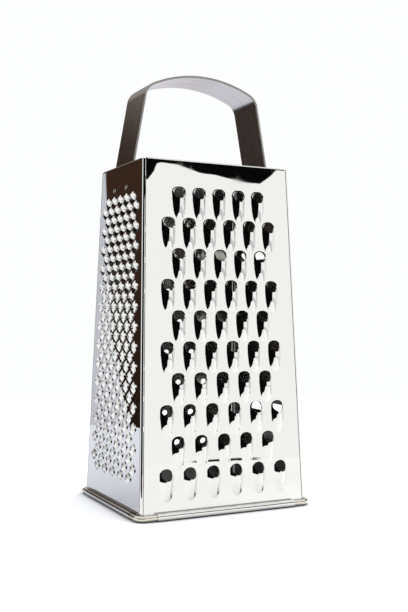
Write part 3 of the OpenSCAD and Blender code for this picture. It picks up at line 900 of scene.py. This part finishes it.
# Foot welds: two weld spots through each side panel into the strap's foot behind it,
# seen outside as two faint round marks under the top edge.
foot_spot = weld_spot("foot_weld_spot", SPOT_R, SHEET + STRAP_T)
for name, side in (("left_foot_welds", LEFT), ("right_foot_welds", RIGHT)):
    spots = set_spots(name + "_pressed", foot_spot, side, foot_spots(side))
    dress(spots, weld_metal, "weld_spots", name)
bpy.data.objects.remove(foot_spot)


# Studio: a pale table under the grater, soft light from above and the right, and what
# stands round it, which the polished sheets show: a white wall at the right and behind,
# a dark room on the camera's side, a brown one at the left and a white screen beside it.
TABLE_R = 0.62
# The table ends nearer than its radius between some azimuths, in degrees from the front
# and more to the right: low and high azimuth and the share of the radius.
TABLE_EDGES = ((-168, -100, 0.69), (-100, -22, 0.34), (-22, 120, 0.74))
TABLE_GLOW = 0.16
bpy.ops.object.select_all(action="DESELECT")
bpy.ops.mesh.primitive_circle_add(vertices=96, radius=TABLE_R, fill_type="NGON",
                                  location=(0, 0, 0))
table = bpy.context.object
table.name = "table"
for v in table.data.vertices:
    toward = math.degrees(math.atan2(v.co.x, -v.co.y))
    v.co *= next((share for low, high, share in TABLE_EDGES if low < toward < high), 1)
paper, tree, shader, coords = new_finish("matt_white_paper", 0xF6F6F6)
fibre = add_node(tree, "TexNoise", Vector=coords, Scale=400, Detail=2)
tone = add_node(tree, "Mix", dict(data_type="RGBA"), i0=fibre.outputs["Fac"],
                i6=srgb(0xF4F5F7), i7=srgb(0xFAFAFB))
# Painted light and shade on the table as the polished sheets see it, for glossy rays only:
# lighter just in front of the grater, darker further to the front, and darker and bluer behind
# it, where the grater shades it.
place = add_node(tree, "SeparateXYZ", Vector=coords)
far = add_node(tree, "MapRange", Value=place.outputs["Y"], From_Min=-0.04, From_Max=0)
near = add_node(tree, "MapRange", Value=place.outputs["Y"], From_Min=-0.2, From_Max=-0.06)
reflected_light_and_shade = add_node(tree, "Mix", dict(data_type="RGBA"), i0=near.outputs[0],
                    i6=srgb(0xE8E6E1), i7=srgb(0xF7F8F3))
reflected_light_and_shade = add_node(tree, "Mix", dict(data_type="RGBA"), i0=far.outputs[0],
                    i6=reflected_light_and_shade.outputs[2], i7=srgb(0xDADBE1))
ray = add_node(tree, "LightPath")
tone = add_node(tree, "Mix", dict(data_type="RGBA"), i0=ray.outputs["Is Glossy Ray"],
                i6=tone.outputs[2], i7=reflected_light_and_shade.outputs[2])
# Painted contact shade: ambient occlusion within 10 mm darkens the paper's colour, and its glow
# to the camera with it, where the grater stands on it.
contact_shade = add_node(tree, "AmbientOcclusion", dict(samples=16), Color=tone.outputs[2],
                Distance=10 * MM)
tree.links.new(contact_shade.outputs["Color"], shader.inputs["Base Color"])
tree.links.new(contact_shade.outputs["Color"], shader.inputs["Emission Color"])
glow = add_node(tree, "Math", dict(operation="MULTIPLY"),
                i0=ray.outputs["Is Camera Ray"], i1=TABLE_GLOW)
tree.links.new(glow.outputs[0], shader.inputs["Emission Strength"])
shader.inputs["Roughness"].default_value = 0.9
shader.inputs["Specular IOR Level"].default_value = 0.1
table.data.materials.append(paper)

world = bpy.data.worlds.new("studio")
bpy.context.scene.world = world
world.use_nodes = True
tree = world.node_tree
tree.nodes.clear()
direction = add_node(tree, "TexCoord").outputs["Generated"]
parts = add_node(tree, "SeparateXYZ", Vector=direction)
away = add_node(tree, "Math", dict(operation="MULTIPLY"), i0=parts.outputs["Y"], i1=-1.0)
turn = add_node(tree, "Math", dict(operation="ARCTAN2"),
                i0=parts.outputs["X"], i1=away.outputs[0])
azimuth = add_node(tree, "Math", dict(operation="DEGREES"), i0=turn.outputs[0]).outputs[0]
lift = add_node(tree, "Math", dict(operation="ARCSINE"), i0=parts.outputs["Z"])
elevation = add_node(tree, "Math", dict(operation="DEGREES"), i0=lift.outputs[0]).outputs[0]


def paint(below, colour, *edges):
    """Paints a colour over the surroundings within soft edges. Each edge is a value, where
    the colour begins to show along it and where it shows in full."""
    share = 1.0
    for value, begins, full in edges:
        step = add_node(tree, "MapRange", dict(interpolation_type="SMOOTHSTEP"), Value=value,
                        From_Min=begins, From_Max=full)
        share = add_node(tree, "Math", dict(operation="MULTIPLY"),
                         i0=step.outputs[0], i1=share).outputs[0]
    return add_node(tree, "Mix", dict(data_type="RGBA"), i0=share, i6=below, i7=colour).outputs[2]


# The brown room, paler towards its ceiling, and the dark one on the camera's side.
brown = paint(srgb(0x33241A, 0.6), srgb(0x3D2B21, 0.97), (elevation, -8, 10))
brown = paint(brown, srgb(0xA59F99, 0.97), (elevation, 16, 26))
walls = paint(brown, srgb(0x0A0A0A), (azimuth, -150, -120))
walls = paint(walls, brown, (azimuth, 140, 150))
walls = paint(walls, srgb(0xFFFFFF, 1.1),
              (azimuth, -140, -136), (azimuth, -84, -92), (elevation, 22, 19))
# The wall behind: its left edge leans a little and turns in near the table.
lean = add_node(tree, "Math", dict(operation="MULTIPLY_ADD"),
                i0=elevation, i1=0.09, i2=azimuth)
dip = add_node(tree, "MapRange", Value=elevation, From_Min=-6, From_Max=-0.7,
               To_Min=1.0, To_Max=0.0)
left_edge = add_node(tree, "Math", dict(operation="SUBTRACT"),
                     i0=lean.outputs[0], i1=dip.outputs[0]).outputs[0]
walls = paint(walls, srgb(0xE6E8F0, 0.8),
              (left_edge, -159.18, -159.24), (elevation, 10.4, 9.8))
# The white wall at the right: its top edge waves between two azimuths. Each pair is a
# share of the way between them and the edge's height in degrees.
WAVE_START, WAVE_END, WAVE_MOST = 20, 34, 20
WAVE = ((0, 14), (0.26, 14.4), (0.292, 14.96), (0.304, 15.35), (0.356, 15.33),
        (0.416, 15.13), (0.493, 14.7), (0.591, 14.4), (0.681, 14.03), (0.765, 13.8),
        (0.79, 13.86), (0.84, 14.3), (0.875, 14.67), (0.91, 14.8), (1, 16))
span = add_node(tree, "MapRange", Value=azimuth, From_Min=WAVE_START, From_Max=WAVE_END)
edge = add_node(tree, "ValToRGB", Fac=span.outputs[0])
edge.color_ramp.interpolation = "CARDINAL"
while len(edge.color_ramp.elements) < len(WAVE):
    edge.color_ramp.elements.new(0.5)
for stop, (at, degrees) in zip(edge.color_ramp.elements, WAVE):
    stop.position = at
    stop.color = [degrees / WAVE_MOST] * 3 + [1]
over_top = add_node(tree, "Math", dict(operation="MULTIPLY_ADD"),
                    i0=edge.outputs["Color"], i1=-WAVE_MOST, i2=elevation).outputs[0]
white = paint(srgb(0xF0F0F4, 0.8), srgb(0xFAFBF8, 1.17), (elevation, -9, -5))
white = paint(white, srgb(0xEFEDF5, 0.96), (azimuth, 115, 135))
walls = paint(walls, white, (azimuth, -4, 0), (over_top, 0.03, -0.03))
# A short dark band at its foot, painted shade in the gap between the table's edge and the wall,
# and the pale ceiling over everything.
foot = add_node(tree, "MapRange", Value=azimuth, From_Min=25.5, From_Max=30,
                To_Min=-3.62, To_Max=-3.56)
over_foot = add_node(tree, "Math", dict(operation="SUBTRACT"),
                     i0=elevation, i1=foot.outputs[0]).outputs[0]
walls = paint(walls, srgb(0x2A3036), (elevation, -4.4, -4.35), (over_foot, 0.03, -0.03),
              (azimuth, 25.5, 26), (azimuth, 30.2, 29.4))
walls = paint(walls, srgb(0xFBFAF7, 1.06), (elevation, 29, 36))
ray = add_node(tree, "LightPath")
seen = add_node(tree, "Background", Color=srgb(0xFDFFFE), Strength=1.0)
lit = add_node(tree, "Background", Color=srgb(0xFAFBFF), Strength=1.22)
shown = add_node(tree, "Background", Color=walls, Strength=1.0)
mixed = add_node(tree, "MixShader", i0=ray.outputs["Is Glossy Ray"],
                 i1=lit.outputs[0], i2=shown.outputs[0])
mixed = add_node(tree, "MixShader", i0=ray.outputs["Is Camera Ray"],
                 i1=mixed.outputs[0], i2=seen.outputs[0])
add_node(tree, "OutputWorld", Surface=mixed.outputs[0])

LAMP_PLACE, LAMP_AIM = Vector((0.7, -0.35, 0.9)), Vector((0, 0, 0.05))
bpy.ops.object.light_add(type="AREA", location=LAMP_PLACE)
lamp = bpy.context.object
lamp.name = "soft_key"
lamp.data.size = 0.7
lamp.data.energy = 5
lamp.rotation_euler = (LAMP_PLACE - LAMP_AIM).to_track_quat("Z", "Y").to_euler()
lamp.visible_glossy = False


# Camera: where the photographer stood, a little left of the coarse side and level with
# the middle of the body. The place, the turns in radians and the focal length in pixels
# of the photo are fitted to the edges and holes that the photo shows.
CAMERA_PLACE = Vector((-225.157, -461.674, 107.613)) * MM
YAW, PITCH, ROLL = 0.4663, 0.0059, 0.0041
FOCAL_PX, PHOTO_H_PX = 892.95, 612
bpy.ops.object.camera_add(location=(0, 0, 0))
camera = bpy.context.object
ahead = Vector((math.sin(YAW) * math.cos(PITCH), math.cos(YAW) * math.cos(PITCH),
                math.sin(PITCH)))
level_right = ahead.cross(Vector((0, 0, 1))).normalized()
level_up = level_right.cross(ahead)
right = math.cos(ROLL) * level_right + math.sin(ROLL) * level_up
above = math.cos(ROLL) * level_up - math.sin(ROLL) * level_right
facing = Matrix((right, above, -ahead)).transposed().to_4x4()
camera.matrix_world = Matrix.Translation(CAMERA_PLACE) @ facing
camera.data.sensor_width = 36
camera.data.lens = FOCAL_PX / PHOTO_H_PX * camera.data.sensor_width
camera.data.clip_start = 0.01
bpy.context.scene.camera = camera
bpy.context.scene.view_settings.view_transform = "Standard"
